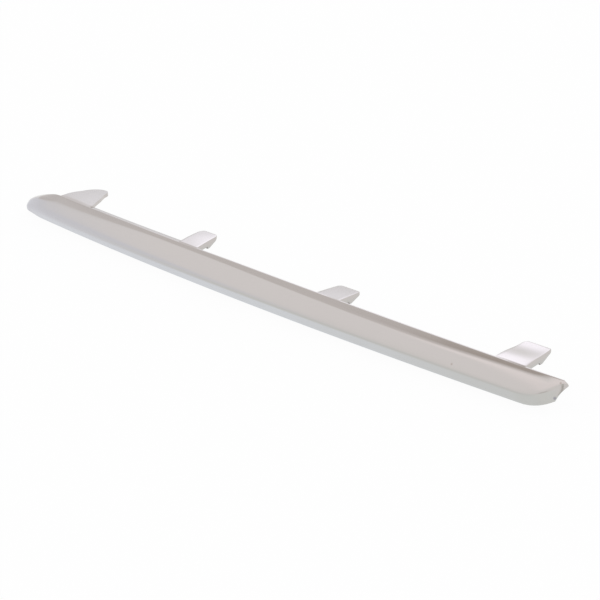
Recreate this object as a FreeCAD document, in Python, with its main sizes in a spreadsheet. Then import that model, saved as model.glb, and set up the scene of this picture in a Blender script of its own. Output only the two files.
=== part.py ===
import FreeCAD, Part
import os

import Sketcher

os.makedirs("parts", exist_ok=True)
doc = FreeCAD.newDocument("grille_trim_moulding")

# Driving dimensions in millimetres.
# x runs along the bar from its nose to its square end, y points back into the grille, z points up.
# y is 0 at the middle of the bowed top edge, and z is 0 at the foot of the bar.
SIZES = {
    "length": 328.0,             # nose to square end
    "bow_radius": 2415.0,        # plan radius of the bar, which follows the front of the car
    "top_height": 14.1,          # foot to top edge over the nose half
    "top_fall": 2.8,             # how much lower the top edge is at the square end
    "fall_length": 165.0,        # the top edge falls over this length of the square end
    "shoulder_depth": 2.6,       # the upper bevel comes forward this far
    "waist_depth": 1.4,          # the same where the bevel is narrowest
    "face_depth": 5.0,           # the middle face comes forward this far at the lower crease
    "foot_depth": 2.5,           # the lower bevel ends this far forward of the top edge
    "drop_nose": 3.6,            # height of the upper bevel at the nose
    "drop_fin": 3.2,             # the same over the fin
    "drop_waist": 1.0,           # the same where the bevel is narrowest
    "drop_full": 1.9,            # the same where it widens again
    "drop_end": 0.3,             # the same at the square end
    "crease_height": 4.7,        # foot to the lower crease
    "crown": 0.3,                # how far the middle face swells between its creases
    "wall": 2.2,                 # thickness of the moulded wall
    "lip_depth": 2.5,            # the foot wall runs back this far behind the top edge
    "lip_trim": 3.7,             # the foot wall is this much shorter at both ends
    "crease_rise": 20.0,         # the lower crease turns up over this length of the square end
    "crease_meet": 2.4,          # it meets the shoulder this far from the end
    "end_turn": 10.0,            # the face turns back over this length of the square end
    "end_tuck": 2.6,             # how far back it turns at its lower crease
    "foot_rise": 17.5,           # the foot rises over this length of the square end
    "foot_share": 0.73,          # height of the foot at the end, as a share of the height there
    "notch_height": 4.8,         # foot to the lower corner of the hollow arc
    "notch_inset": 5.0,          # the lower corner lies this far in from the end
    "notch_hollow": 0.9,         # how far the arc is hollowed, clear of the next moulding
    "end_corner": 0.5,           # bevelled top corner of the square end
    "return_depth": 2.65,        # the end face is square this far forward of the top edge, then cut back
    "return_length": 8.0,        # length along the bar of that cut
    "return_slope": 0.75,        # how fast it runs back along the bar
    "nose_slope_start": 31.0,    # the top edge turns down this far from the nose
    "nose_slope_end": 9.0,       # the sloping stretch ends this far from the nose
    "nose_slope_height": 8.6,    # height where the sloping stretch ends
    "nose_tip_height": 1.6,      # height of the foremost point of the nose
    "nose_foot_length": 10.0,    # the foot starts this far from the nose
    "nose_turn": 28.0,           # the face turns back over this length of the nose
    "nose_tuck": 2.8,            # how far back it turns at its lower crease
    "nose_gap": 48.5,            # nose to the middle of the fin
    "end_gap": 24.1,             # last tongue to the square end
    "second_share": 0.348,       # place of the second tongue between the fin and the last
    "third_share": 0.677,        # place of the third
    "reach_2": 12.0,             # length of the second tongue behind the top edge
    "reach_3": 11.5,             # length of the third
    "reach_4": 14.4,             # length of the last
    "lift_2": 2.9,               # rise of the second tongue to its tip
    "lift_3": 0.5,               # rise of the third
    "lift_4": 2.2,               # rise of the last
    "tongue_width": 12.6,        # width of a tongue at its root
    "tongue_taper": 0.8,         # each side of a tongue closes in this much at its tip
    "tongue_thickness": 2.35,    # plate thickness of a tongue
    "tongue_corner": 2.2,        # rounding of the tip corners in plan
    "barb_depth": 0.8,           # step of the catch below the plate
    "barb_land": 1.2,            # flat under the barb
    "barb_ramp": 5.0,            # length of the lead-in ramp from the tip back to the barb
    "tip_thickness": 1.0,        # thickness of a tongue at its tip
    "root_depth": 0.9,           # a tongue runs this far forward into the bar
    "fin_width": 30.0,           # root width of the swept fin at the nose end
    "fin_reach": 16.6,           # length of the fin behind the top edge
    "fin_lift": 2.5,             # rise of the fin to its tip
    "fin_tip_width": 10.7,       # width across its rounded tip
    "fin_sweep": 1.9,            # the tip lies this far nearer the nose than the middle of the root
    "fin_thickness": 1.6,        # plate thickness of the fin
    "ledge_depth": 2.2,          # the ledge from the fin to the second tongue runs back this far
    "ledge_step": 0.2,           # the ledge lies this far below the top edge
    "ledge_thickness": 1.6,      # plate thickness of the ledge
}

# How sharply two lines bend, where 1 is straight and 2 a parabola.
FALL_BEND = 1.3                  # the top edge falling to the square end
CREASE_BEND = 2.6                # the lower crease turning up to it

sheet = doc.addObject("Spreadsheet::Sheet", "Sizes")
for row, (name, number) in enumerate(SIZES.items(), start=1):
    sheet.set(f"A{row}", name)
    sheet.set(f"B{row}", str(number))
    sheet.setAlias(f"B{row}", name)
doc.recompute()


def named(text):
    """Turn the names of sizes in an expression into references to the sheet."""
    for name in sorted(SIZES, key=len, reverse=True):
        text = text.replace("{" + name + "}", f"Sizes.{name}")
    return text


def number(text):
    """Work out an expression now, for the first place of a sketch point."""
    return float(sheet.evalExpression(named(text)))


def share(x, start, stop):
    """How far x has gone from start to stop, as a share of the way."""
    return f"((({x}) - ({start})) / (({stop}) - ({start})))"


# Places along the bar.
nose = "(-{length} / 2)"
end = "({length} / 2)"
fin_place = f"({nose} + {{nose_gap}})"
last_place = f"({end} - {{end_gap}})"
second_place = f"({fin_place} + ({last_place} - {fin_place}) * {{second_share}})"
third_place = f"({fin_place} + ({last_place} - {fin_place}) * {{third_share}})"


def bow(x):
    """How far back the bowed top edge lies at x."""
    return f"(({x})^2 / (2 * {{bow_radius}}))"


def top(x):
    """Height of the top edge at x: level over the nose half, then falling ever faster."""
    fallen = share(x, f"{end} - {{fall_length}}", end)
    if number(fallen) <= 0:
        return "{top_height}"
    return f"({{top_height}} - {{top_fall}} * {fallen}^{FALL_BEND})"


def bevel(x, sizes):
    """A size of the upper bevel at x: it eases from each of five values along the bar to the next."""
    places = [nose, f"{nose} + {{length}} * 0.117", f"{nose} + {{length}} * 0.365", f"{nose} + {{length}} * 0.807", end]
    for start, stop, before, after in zip(places, places[1:], sizes, sizes[1:]):
        if number(x) <= number(stop):
            gone = share(x, start, stop)
            return f"({before} + ({after} - {before}) * {gone}^2 * (3 - 2 * {gone}))"
    return sizes[-1]


def drop(x):
    """Height of the upper bevel at x."""
    return bevel(x, ("{drop_nose}", "{drop_fin}", "{drop_waist}", "{drop_full}", "{drop_end}"))


def depth(x):
    """How far the upper bevel comes forward at x."""
    return bevel(x, ("{shoulder_depth}", "{shoulder_depth}", "{waist_depth}", "{shoulder_depth}", "{shoulder_depth}"))


def crease(x):
    """Height of the lower crease at x: level, then turning up to just under the shoulder at the end."""
    gone = share(x, f"{end} - {{crease_rise}}", f"{end} - {{crease_meet}}")
    under_shoulder = f"({top(x)} - {drop(x)}) * 0.96"
    if number(gone) <= 0:
        return "{crease_height}"
    if number(gone) >= 1:
        return f"({under_shoulder})"
    return f"({{crease_height}} + ({under_shoulder} - {{crease_height}}) * {gone}^{CREASE_BEND})"


def foot(x):
    """Height of the foot at x: level, then rising in a parabola to the end."""
    gone = share(x, f"{end} - {{foot_rise}}", end)
    if number(gone) <= 0:
        return "0"
    return f"({{foot_share}} * {top(x)} * {gone}^2)"


def tuck(x):
    """How far the face has turned back at x, close to either end."""
    at_end = share(x, f"{end} - {{end_turn}}", end)
    at_nose = share(x, f"{nose} + {{nose_turn}}", nose)
    if number(at_end) > 0:
        return f"({{end_tuck}} * {at_end}^2)"
    if number(at_nose) > 0:
        return f"({{nose_tuck}} * {at_nose}^2)"
    return "0"


def lip(x):
    """How far the foot wall runs back at x: its full depth, trimmed away towards both ends."""
    for start, stop in ((f"{nose} + {{nose_slope_start}}", nose), (f"{end} - {{foot_rise}}", f"{end} - {{notch_inset}}")):
        gone = share(x, start, stop)
        if number(gone) >= 1:
            return "({lip_depth} - {lip_trim})"
        if number(gone) > 0:
            return f"({{lip_depth}} - {{lip_trim}} * {gone}^2)"
    return "{lip_depth}"


def origin_plane(body, role):
    """The origin plane of a body with the given role."""
    return next(item for item in body.Origin.OriginFeatures if item.Role == role)


def new_sketch(body, name, role, offset="0"):
    """A sketch on an origin plane of its own body, moved off it along its normal."""
    sketch = body.newObject("Sketcher::SketchObject", name)
    sketch.AttachmentSupport = [(origin_plane(body, role), "")]
    sketch.MapMode = "FlatFace"
    sketch.setExpression("AttachmentOffset.Base.z", named(offset))
    return sketch


def pin(sketch, geometry, place, point):
    """Hold one sketch point at coordinates worked out from the sheet."""
    for kind, text in (("DistanceX", point[0]), ("DistanceY", point[1])):
        index = sketch.addConstraint(Sketcher.Constraint(kind, geometry, place, number(text)))
        sketch.setExpression(f"Constraints[{index}]", named(text))


def outline(sketch, points):
    """Draw a closed outline; a point is (across, up) or, for the middle of an arc, (across, up, "arc")."""
    places = [FreeCAD.Vector(number(point[0]), number(point[1]), 0) for point in points]
    corners = [index for index, point in enumerate(points) if len(point) == 2]
    edges = []
    for here, start in enumerate(corners):
        first = places[start]
        last = places[corners[(here + 1) % len(corners)]]
        between = (start + 1) % len(points)
        ends = (1, 2)
        if len(points[between]) == 3:
            middle = places[between]
            edge = sketch.addGeometry(Part.Arc(first, middle, last))
            mark = sketch.addGeometry(Part.Point(middle), True)
            pin(sketch, mark, 1, points[between])
            sketch.addConstraint(Sketcher.Constraint("PointOnObject", mark, 1, edge))
            if sketch.getPoint(edge, 1).distanceToPoint(first) > sketch.getPoint(edge, 2).distanceToPoint(first):
                ends = (2, 1)
        else:
            edge = sketch.addGeometry(Part.LineSegment(first, last))
        edges.append((edge, ends, points[start]))
    for here, (edge, ends, start) in enumerate(edges):
        following, following_ends, _ = edges[(here + 1) % len(edges)]
        sketch.addConstraint(Sketcher.Constraint("Coincident", edge, ends[1], following, following_ends[0]))
        pin(sketch, edge, ends[0], start)


def toward(start, stop, part):
    """The point that lies the given part of the way from start to stop."""
    return tuple(f"({a} + ({b} - {a}) * {part})" for a, b in zip(start[:2], stop[:2]))


def softened(before, corner, after, part_before, part_after):
    """A crease drawn as a small arc between its two neighbours."""
    first = toward(corner, before, part_before)
    last = toward(corner, after, part_after)
    middle = toward(corner, toward(first, last, 0.5), 0.5)
    return [first, (*middle, "arc"), last]


def skin_section(x):
    """Outer section of the bar at x: top edge, shoulder, swollen face, lower crease, foot and lip."""
    back = bow(x)
    edge = (back, top(x))
    shoulder = (f"({back} - {depth(x)} + 0.7 * {tuck(x)})", f"({top(x)} - {drop(x)})")
    low = (f"({back} - {{face_depth}} + {tuck(x)})", crease(x))
    toe = (f"({back} - {{foot_depth}})", foot(x))
    middle = toward(shoulder, low, 0.5)
    swell = (f"{middle[0]} - {{crown}}", middle[1], "arc")
    return [
        edge,
        *softened(edge, shoulder, low, 0.22, 0.08),
        swell,
        *softened(shoulder, low, toe, 0.08, 0.14),
        toe,
        (f"{back} + {lip(x)}", foot(x)),
    ]


def channel_section(x):
    """Section of the open channel behind the face, one wall inside the skin and open to the back."""
    back = bow(x)
    head = top(x)
    return [
        (f"{back} + {{lip_depth}} + 2 * {{wall}}", f"{head} - {{wall}}"),
        (f"{back} - {depth(x)} + {{wall}}", f"{head} - {drop(x)} - 0.8 * {{wall}}"),
        (f"{back} - {{face_depth}} + {{wall}}", "{crease_height}"),
        (f"{back} - {{foot_depth}} + 0.8 * {{wall}}", "{wall}"),
        (f"{back} + {{lip_depth}} + 2 * {{wall}}", "{wall}"),
    ]


def loft(body, kind, name, stations, section):
    """Loft a section through its stations along the bar."""
    sketches = []
    for place, x in enumerate(stations, start=1):
        sketch = new_sketch(body, f"{name}_section_{place}", "YZ_Plane", x)
        outline(sketch, section(x))
        sketches.append(sketch)
    doc.recompute()
    feature = body.newObject(kind, name)
    feature.Profile = sketches[0]
    feature.Sections = sketches[1:]
    doc.recompute()
    return feature


# The bar: a skin lofted along its length, hollowed from behind, then cut to its end outlines.
bar = doc.addObject("PartDesign::Body", "bar")
overrun = 0.5
turn = f"({end} - 1.6 * {{crease_rise}})"
skin_stations = [f"{nose} - {overrun}"]
skin_stations += [f"{nose} + ({turn} - {nose}) * {part}" for part in (0.03, 0.06, 0.1, 0.15, 0.24, 0.36, 0.5, 0.66, 0.83)]
skin_stations += [f"{turn} + ({end} - {turn}) * {part}" for part in (0, 0.2, 0.38, 0.5, 0.6, 0.7, 0.8, 0.9)]
skin_stations += [f"{end} + {overrun}"]
loft(bar, "PartDesign::AdditiveLoft", "skin", skin_stations, skin_section)

channel_start = f"({nose} + {{nose_slope_start}} - 4)"
channel_stop = f"({end} - {{crease_rise}} + 2)"
channel_stations = [f"{channel_start} + ({channel_stop} - {channel_start}) * {part}"
                    for part in (0, 0.17, 0.34, 0.51, 0.68, 0.84, 1)]
loft(bar, "PartDesign::SubtractiveLoft", "channel", channel_stations, channel_section)

# Everything outside the front outline of the nose is cut away.
above = "{top_height} + 5"
nose_outline = new_sketch(bar, "nose_outline", "XZ_Plane")
outline(nose_outline, [
    (f"{nose} + {{nose_slope_start}}", above),
    (f"{nose} + {{nose_slope_start}}", "{top_height} + 0.3"),
    (f"{nose} + ({{nose_slope_start}} + {{nose_slope_end}}) / 2",
     "({top_height} + {nose_slope_height}) / 2 + 0.4", "arc"),
    (f"{nose} + {{nose_slope_end}}", "{nose_slope_height}"),
    (f"{nose} + {{nose_slope_end}} * 0.38", "{nose_slope_height} * 0.62", "arc"),
    (nose, "{nose_tip_height}"),
    (f"{nose} + {{nose_foot_length}} * 0.3", "{nose_tip_height} * 0.42", "arc"),
    (f"{nose} + {{nose_foot_length}}", "0"),
    (f"{nose} + {{nose_foot_length}}", "-5"),
    (f"{nose} - 10", "-5"),
    (f"{nose} - 10", above),
])

# The square end has a bevelled top corner and a hollow arc below it.
end_top = "({top_height} - {top_fall})"
corner_height = f"({end_top} - {{end_corner}})"
end_outline = new_sketch(bar, "end_outline", "XZ_Plane")
outline(end_outline, [
    (f"{end} - 3 * {{end_corner}}", f"{end_top} + 0.1"),
    (end, corner_height),
    (f"{end} - {{notch_inset}} / 2 - {{notch_hollow}}", f"({corner_height} + {{notch_height}}) / 2", "arc"),
    (f"{end} - {{notch_inset}}", "{notch_height}"),
    (f"{end} - {{notch_inset}}", "-2"),
    (f"{end} + 8", "-2"),
    (f"{end} + 8", f"{end_top} + 5"),
    (f"{end} - 3 * {{end_corner}}", f"{end_top} + 5"),
])

# Behind the front of the square end a slanting cut thins the end face.
square = f"({bow(end)} - {{return_depth}})"
end_return = new_sketch(bar, "end_return", "XY_Plane")
outline(end_return, [
    (end, square),
    (f"{end} + 5", square),
    (f"{end} + 5", f"{square} + {{return_slope}} * {{return_length}}"),
    (f"{end} - {{return_length}}", f"{square} + {{return_slope}} * {{return_length}}"),
])
doc.recompute()
for sketch in (nose_outline, end_outline, end_return):
    cut = bar.newObject("PartDesign::Pocket", sketch.Name + "_cut")
    cut.Profile = sketch
    cut.Type = "ThroughAll"
    cut.Midplane = True
    doc.recompute()


def side_and_plan(name, x, side_points, plan_points, width):
    """A plate behind the bar: its side view and its plan, each padded, and what both share."""
    side = doc.addObject("PartDesign::Body", name + "_side")
    side_view = new_sketch(side, name + "_side_view", "YZ_Plane", x)
    outline(side_view, side_points)
    doc.recompute()
    side_pad = side.newObject("PartDesign::Pad", name + "_side_pad")
    side_pad.Profile = side_view
    side_pad.Midplane = True
    side_pad.setExpression("Length", named(f"2 * ({width})"))
    plan = doc.addObject("PartDesign::Body", name + "_plan")
    plan_view = new_sketch(plan, name + "_plan_view", "XY_Plane")
    outline(plan_view, plan_points)
    doc.recompute()
    plan_pad = plan.newObject("PartDesign::Pad", name + "_plan_pad")
    plan_pad.Profile = plan_view
    plan_pad.setExpression("Length", named("2 * {top_height}"))
    doc.recompute()
    shared = doc.addObject("Part::MultiCommon", name)
    shared.Shapes = [side, plan]
    doc.recompute()
    return shared


def root_lead(x, width):
    """How much further back the bowed top edge lies at the outer corner of a root than at its middle."""
    return f"(({width}) / 2 * sqrt(({x})^2) / {{bow_radius}})"


def tongue(name, x, reach, lift):
    """One clip tongue, with its barb below and the lead-in ramp up to its rounded tip."""
    back = bow(x)
    head = top(x)
    tip = f"({back} + {reach})"
    barb = f"({tip} - {{barb_ramp}})"
    catch = f"({barb} - {{barb_land}})"
    under = f"({head} - {{tongue_thickness}})"
    lead = root_lead(x, "{tongue_width}")
    side_points = [
        (f"{back} - {{root_depth}}", under),
        (f"{back} - {{root_depth}}", f"{head} - 1.5 * ({{root_depth}} + {lead})"),
        (f"{back} + {lead}", head),
        (tip, f"{head} + {lift}"),
        (tip, f"{head} + {lift} - {{tip_thickness}}"),
        (barb, f"{under} + {lift} * ({reach} - {{barb_ramp}}) / {reach} - {{barb_depth}}"),
        (catch, f"{under} + {lift} * ({reach} - {{barb_ramp}} - {{barb_land}}) / {reach} - {{barb_depth}}"),
        (catch, f"{under} + {lift} * ({reach} - {{barb_ramp}} - {{barb_land}}) / {reach}"),
    ]
    half = "{tongue_width} / 2"
    narrow = "({tongue_width} / 2 - {tongue_taper})"
    corner = "{tongue_corner}"
    cut = 0.29
    plan_points = [
        (f"{x} - {half}", f"{back} - {{root_depth}}"),
        (f"{x} + {half}", f"{back} - {{root_depth}}"),
        (f"{x} + {half}", back),
        (f"{x} + {narrow}", f"{tip} - {corner}"),
        (f"{x} + {narrow} - {cut} * {corner}", f"{tip} - {cut} * {corner}", "arc"),
        (f"{x} + {narrow} - {corner}", tip),
        (f"{x} - {narrow} + {corner}", tip),
        (f"{x} - {narrow} + {cut} * {corner}", f"{tip} - {cut} * {corner}", "arc"),
        (f"{x} - {narrow}", f"{tip} - {corner}"),
        (f"{x} - {half}", back),
    ]
    return side_and_plan(name, x, side_points, plan_points, "{tongue_width}")


def swept_fin(name, x):
    """The wide fin at the nose end, swept to a rounded tip."""
    back = bow(x)
    head = top(x)
    tip = f"({back} + {{fin_reach}})"
    lead = root_lead(x, "{fin_width}")
    side_points = [
        (f"{back} - {{root_depth}}", f"{head} - {{fin_thickness}} - 1.5 * ({{root_depth}} + {lead})"),
        (f"{back} - {{root_depth}}", f"{head} - 1.5 * ({{root_depth}} + {lead})"),
        (f"{back} + {lead}", head),
        (tip, f"{head} + {{fin_lift}}"),
        (tip, f"{head} + {{fin_lift}} - {{tip_thickness}}"),
        (f"{back} + {lead}", f"{head} - {{fin_thickness}}"),
    ]
    tip_middle = f"({x} - {{fin_sweep}})"
    left = f"({x} - {{fin_width}} / 2)"
    right = f"({x} + {{fin_width}} / 2)"
    plan_points = [
        (left, f"{back} - {{root_depth}}"),
        (right, f"{back} - {{root_depth}}"),
        (right, back),
        (f"({right} + {tip_middle} + {{fin_tip_width}} / 2) / 2 - 1", f"{back} + {{fin_reach}} * 0.45", "arc"),
        (f"{tip_middle} + {{fin_tip_width}} / 2", f"{back} + {{fin_reach}} * 0.9"),
        (f"{tip_middle} + {{fin_tip_width}} * 0.15", tip, "arc"),
        (f"{tip_middle} - {{fin_tip_width}} / 2", f"{back} + {{fin_reach}} * 0.86"),
        (f"({left} + {tip_middle} - {{fin_tip_width}} / 2) / 2 - 1.5", f"{back} + {{fin_reach}} * 0.45", "arc"),
        (left, back),
    ]
    return side_and_plan(name, x, side_points, plan_points, "{fin_width}")


fin = swept_fin("tongue_1", fin_place)
tongues = [
    tongue("tongue_2", second_place, "{reach_2}", "{lift_2}"),
    tongue("tongue_3", third_place, "{reach_3}", "{lift_3}"),
    tongue("tongue_4", last_place, "{reach_4}", "{lift_4}"),
]

# A narrow ledge joins the fin to the second tongue along the back of the top edge.
ledge = doc.addObject("PartDesign::Body", "ledge")
ledge_plan = new_sketch(ledge, "ledge_plan", "XY_Plane", "{top_height} - {ledge_step} - {ledge_thickness}")
ledge_start = f"({fin_place} + {{fin_width}} / 4)"
ledge_middle = f"(({ledge_start} + {second_place}) / 2)"
inside = "0.5 * {ledge_step}"
outline(ledge_plan, [
    (ledge_start, f"{bow(ledge_start)} - {inside}"),
    (ledge_middle, f"{bow(ledge_middle)} - {inside}", "arc"),
    (second_place, f"{bow(second_place)} - {inside}"),
    (second_place, f"{bow(second_place)} + {{ledge_depth}}"),
    (ledge_middle, f"{bow(ledge_middle)} + {{ledge_depth}}", "arc"),
    (ledge_start, f"{bow(ledge_start)} + {{ledge_depth}}"),
])
doc.recompute()
ledge_pad = ledge.newObject("PartDesign::Pad", "ledge_pad")
ledge_pad.Profile = ledge_plan
ledge_pad.setExpression("Length", named("{ledge_thickness}"))
doc.recompute()

moulding = doc.addObject("Part::MultiFuse", "moulding")
moulding.Label = "trim_moulding"
moulding.Shapes = [bar, ledge, fin] + tongues
moulding.Refine = True
doc.recompute()
box = moulding.Shape.optimalBoundingBox()
moulding.Placement.Base = FreeCAD.Vector(-box.Center.x, -box.Center.y, -box.ZMin)
doc.recompute()

for item in doc.Objects:
    if "Invalid" in item.State or "Error" in item.State:
        raise RuntimeError(f"{item.Label} failed: {item.State}")
shape = moulding.Shape
if shape.isNull() or not shape.isValid() or len(shape.Solids) != 1:
    raise RuntimeError(f"{moulding.Label}: {len(shape.Solids)} solids, valid {shape.isValid()}")
if shape.Volume <= bar.Shape.Volume:
    raise RuntimeError(f"{moulding.Label}: joining lost the bar, volume {shape.Volume:.0f} of {bar.Shape.Volume:.0f}")
shape.exportStep(f"parts/{moulding.Label}.step")
print(moulding.Label, "volume", round(shape.Volume), "box", shape.optimalBoundingBox())
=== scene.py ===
"""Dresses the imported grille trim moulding: a chrome-plated bar with a swept fin and three barbed tongues."""

import logging
import math
from dataclasses import dataclass
from enum import Enum

import bmesh
import bpy
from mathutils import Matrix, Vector
from mathutils.geometry import interpolate_bezier


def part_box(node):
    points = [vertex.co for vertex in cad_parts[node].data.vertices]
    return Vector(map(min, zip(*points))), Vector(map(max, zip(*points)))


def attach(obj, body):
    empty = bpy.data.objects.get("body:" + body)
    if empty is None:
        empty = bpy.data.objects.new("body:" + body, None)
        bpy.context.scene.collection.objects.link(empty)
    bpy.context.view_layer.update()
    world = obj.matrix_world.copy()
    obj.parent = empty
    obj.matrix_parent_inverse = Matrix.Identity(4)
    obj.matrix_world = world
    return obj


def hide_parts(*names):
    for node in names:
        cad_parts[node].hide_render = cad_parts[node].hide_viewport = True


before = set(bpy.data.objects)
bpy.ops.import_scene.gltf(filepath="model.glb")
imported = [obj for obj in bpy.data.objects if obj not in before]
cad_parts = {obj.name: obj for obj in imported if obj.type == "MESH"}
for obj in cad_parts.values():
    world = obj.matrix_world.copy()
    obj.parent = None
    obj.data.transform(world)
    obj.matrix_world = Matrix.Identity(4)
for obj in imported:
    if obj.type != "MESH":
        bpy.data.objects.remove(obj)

logging.basicConfig(level=logging.INFO, format="%(message)s")
LOG = logging.getLogger("moulding")
MM = 0.001
NODE = "trim_moulding"
Material = bpy.types.Material
Tree = bpy.types.NodeTree
Socket = bpy.types.NodeSocket
# A point of a section as (y, z), or of a plan as (x, y), in millimetres.
Flat = tuple[float, float]
# Lengths below this are taken as zero, in millimetres.
TINY = 1e-6
# A rounding takes at most this share of the line beside it, so that two roundings never meet.
MOST_OF_LINE = 0.45


def linear(code: str) -> tuple[float, float, float, float]:
    """Turn an sRGB hex colour into linear light.

    Args:
        code: Six hex digits, red first.

    Returns:
        Linear red, green and blue, and an alpha of 1.
    """
    channels = [int(code[place:place + 2], 16) / 255 for place in (0, 2, 4)]
    red, green, blue = [c / 12.92 if c <= 0.04045 else ((c + 0.055) / 1.055) ** 2.4 for c in channels]
    return red, green, blue, 1.0


def add_node(tree: Tree, kind: str, settings: dict[str, object] | None = None,
             inputs: dict[str, object] | None = None) -> bpy.types.Node:
    """Add a node with its settings, values and links.

    Args:
        tree: The node tree it goes in.
        kind: Blender's name for the node type.
        settings: Properties of the node itself.
        inputs: Values for its sockets, or output sockets to link to them. A key of digits is a socket's
            number: 6 and 7 are the two colours of a Mix node.

    Returns:
        The new node.
    """
    node = tree.nodes.new(kind)
    for name, value in (settings or {}).items():
        setattr(node, name, value)
    for name, value in (inputs or {}).items():
        socket = node.inputs[int(name)] if name.isdigit() else node.inputs[name]
        if isinstance(value, Socket):
            tree.links.new(value, socket)
        else:
            socket.default_value = value
    return node


def hold(share: float) -> float:
    """Hold a share between 0 and 1."""
    return min(max(share, 0.0), 1.0)


def smooth_step(share: float) -> float:
    """Ease a share from 0 to 1 in and out."""
    held = hold(share)
    return held * held * (3 - 2 * held)


class Place(Enum):
    """The tongues that the moulding clips in by, from the nose to the square end."""

    FIN = 1
    SECOND = 2
    THIRD = 3
    LAST = 4


@dataclass(frozen=True)
class BarSizes:
    """Sizes of the bar in millimetres, with x along it, y back and z up, as in the CAD.

    The nose is at the lowest x and the square end at the highest.
    """

    length: float = 328.0
    bow_radius: float = 2415.0
    # The top edge is level up to the fall, and then drops ever faster.
    top_height: float = 14.1
    top_fall: float = 2.8
    fall_length: float = 165.0
    fall_power: float = 1.3
    # Depths are measured forward from the top edge.
    shoulder_depth: float = 2.6
    waist_depth: float = 1.4
    end_depth: float = 1.2
    face_depth: float = 5.0
    foot_depth: float = 2.5
    crown: float = 0.3
    wall: float = 2.2
    lip_depth: float = 2.5
    lip_trim: float = 3.7
    lip_nose: float = 31.0
    lip_end_gap: float = 5.0
    # The lower crease runs level, and turns up to the shoulder at the square end.
    crease_height: float = 4.7
    crease_rise: float = 20.0
    crease_meet: float = 3.2
    crease_bend: float = 3.05
    crease_top: float = 0.99
    # Near the square end the face turns back, and the upper bevel narrows and flattens.
    end_turn: float = 10.0
    end_tuck: float = 2.6
    end_flatten: float = 0.8
    narrow_start: float = 14.0
    narrow_length: float = 8.0
    narrow_share: float = 0.35
    tuck_narrowing: float = 0.7
    foot_rise: float = 17.5
    foot_share: float = 0.73
    # The nose is a parabola seen from the front and a quarter circle seen from above.
    nose_turn: float = 28.0
    nose_tuck: float = 2.5
    nose_tip_height: float = 2.5
    nose_sweep: float = 2.11
    nose_blend: float = 0.9
    nose_shoulder: float = 0.94
    nose_crease: float = 0.45
    nose_foot_length: float = 18.0
    nose_foot_ease: float = 0.9
    nose_foot_height: float = 1.1
    nose_round: float = 5.2
    start_gap: float = 0.1
    # The tongues stand at shares of the way from the fin to the last one.
    nose_gap: float = 48.5
    end_gap: float = 24.1
    second_share: float = 0.348
    third_share: float = 0.677
    fin_reach: float = 16.6
    # The upper bevel has these heights at these shares of the length.
    bevel_places: tuple[float, ...] = (0.0, 0.117, 0.365, 0.807, 1.0)
    bevel_drops: tuple[float, ...] = (3.6, 3.2, 1.0, 1.9, 0.9)

    @property
    def nose(self) -> float:
        """Where the nose is along the bar."""
        return -self.length / 2

    @property
    def end(self) -> float:
        """Where the square end is along the bar."""
        return self.length / 2

    def bow(self, x: float) -> float:
        """How far back the bowed top edge lies at x."""
        return x * x / (2 * self.bow_radius)

    def tongue_place(self, place: Place) -> float:
        """Where the middle of a tongue is along the bar."""
        fin, last = self.nose + self.nose_gap, self.end - self.end_gap
        return fin + (last - fin) * (0.0, self.second_share, self.third_share, 1.0)[place.value - 1]

    def level_top(self, x: float) -> float:
        """Height of the top edge at x without the turn-down of the nose."""
        fallen = (x - self.end + self.fall_length) / self.fall_length
        return self.top_height - self.top_fall * max(fallen, 0.0) ** self.fall_power

    def nose_line(self, x: float) -> float:
        """Height of the front outline of the nose at x, a parabola lying on its side."""
        return self.nose_tip_height + self.nose_sweep * math.sqrt(max(x - self.nose, 0.0))

    def top(self, x: float) -> float:
        """Ease the nose outline into the level stretch of the top edge.

        Args:
            x: Place along the bar.

        Returns:
            Height of the top edge there.
        """
        level, nose = self.level_top(x), self.nose_line(x)
        share = hold(0.5 + 0.5 * (level - nose) / self.nose_blend)
        return level + (nose - level) * share - self.nose_blend * share * (1 - share)

    def bevel(self, x: float, values: tuple[float, ...]) -> float:
        """Ease a size of the upper bevel from each of its values along the bar to the next.

        Args:
            x: Place along the bar.
            values: The size at each of the bevel's places.

        Returns:
            The size at x.
        """
        along = (x - self.nose) / self.length
        marks = list(zip(self.bevel_places, values))
        for (start, before), (stop, after) in zip(marks, marks[1:]):
            if along <= stop:
                return before + (after - before) * smooth_step((along - start) / (stop - start))
        return values[-1]

    def depth(self, x: float) -> float:
        """Work out how far the upper bevel comes forward.

        Args:
            x: Place along the bar.

        Returns:
            Its depth there, less near both ends.
        """
        full = self.shoulder_depth
        reach = self.bevel(x, (full, full, self.waist_depth, full, self.end_depth))
        reach *= 1 - self.narrow_share * smooth_step((x - self.end + self.narrow_start) / self.narrow_length)
        return reach * (1 - self.tuck_narrowing * self.tuck(x) / full)

    def turned(self, x: float) -> float:
        """How much of the square end's turn is done at x, from 0 to 1."""
        return max((x - self.end + self.end_turn) / self.end_turn, 0.0)

    def shoulder(self, x: float) -> float:
        """Height of the shoulder at x, which runs on into the outline of the nose."""
        drop = self.bevel(x, self.bevel_drops) * (1 - self.end_flatten * self.turned(x) ** 2)
        return min(self.level_top(x) - drop, self.top(x) * self.nose_shoulder)

    def crease(self, x: float) -> float:
        """Work out the lower crease, which closes in at the nose and turns up to the top at the square end.

        Args:
            x: Place along the bar.

        Returns:
            Height of the crease there.
        """
        shoulder, foot = self.shoulder(x), self.foot(x)
        if x < 0:
            return min(self.crease_height, foot + self.nose_crease * (shoulder - foot))
        gone = (x - self.end + self.crease_rise) / (self.crease_rise - self.crease_meet)
        risen = hold(gone) ** self.crease_bend
        return self.crease_height + (self.crease_top * shoulder - self.crease_height) * risen

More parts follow.
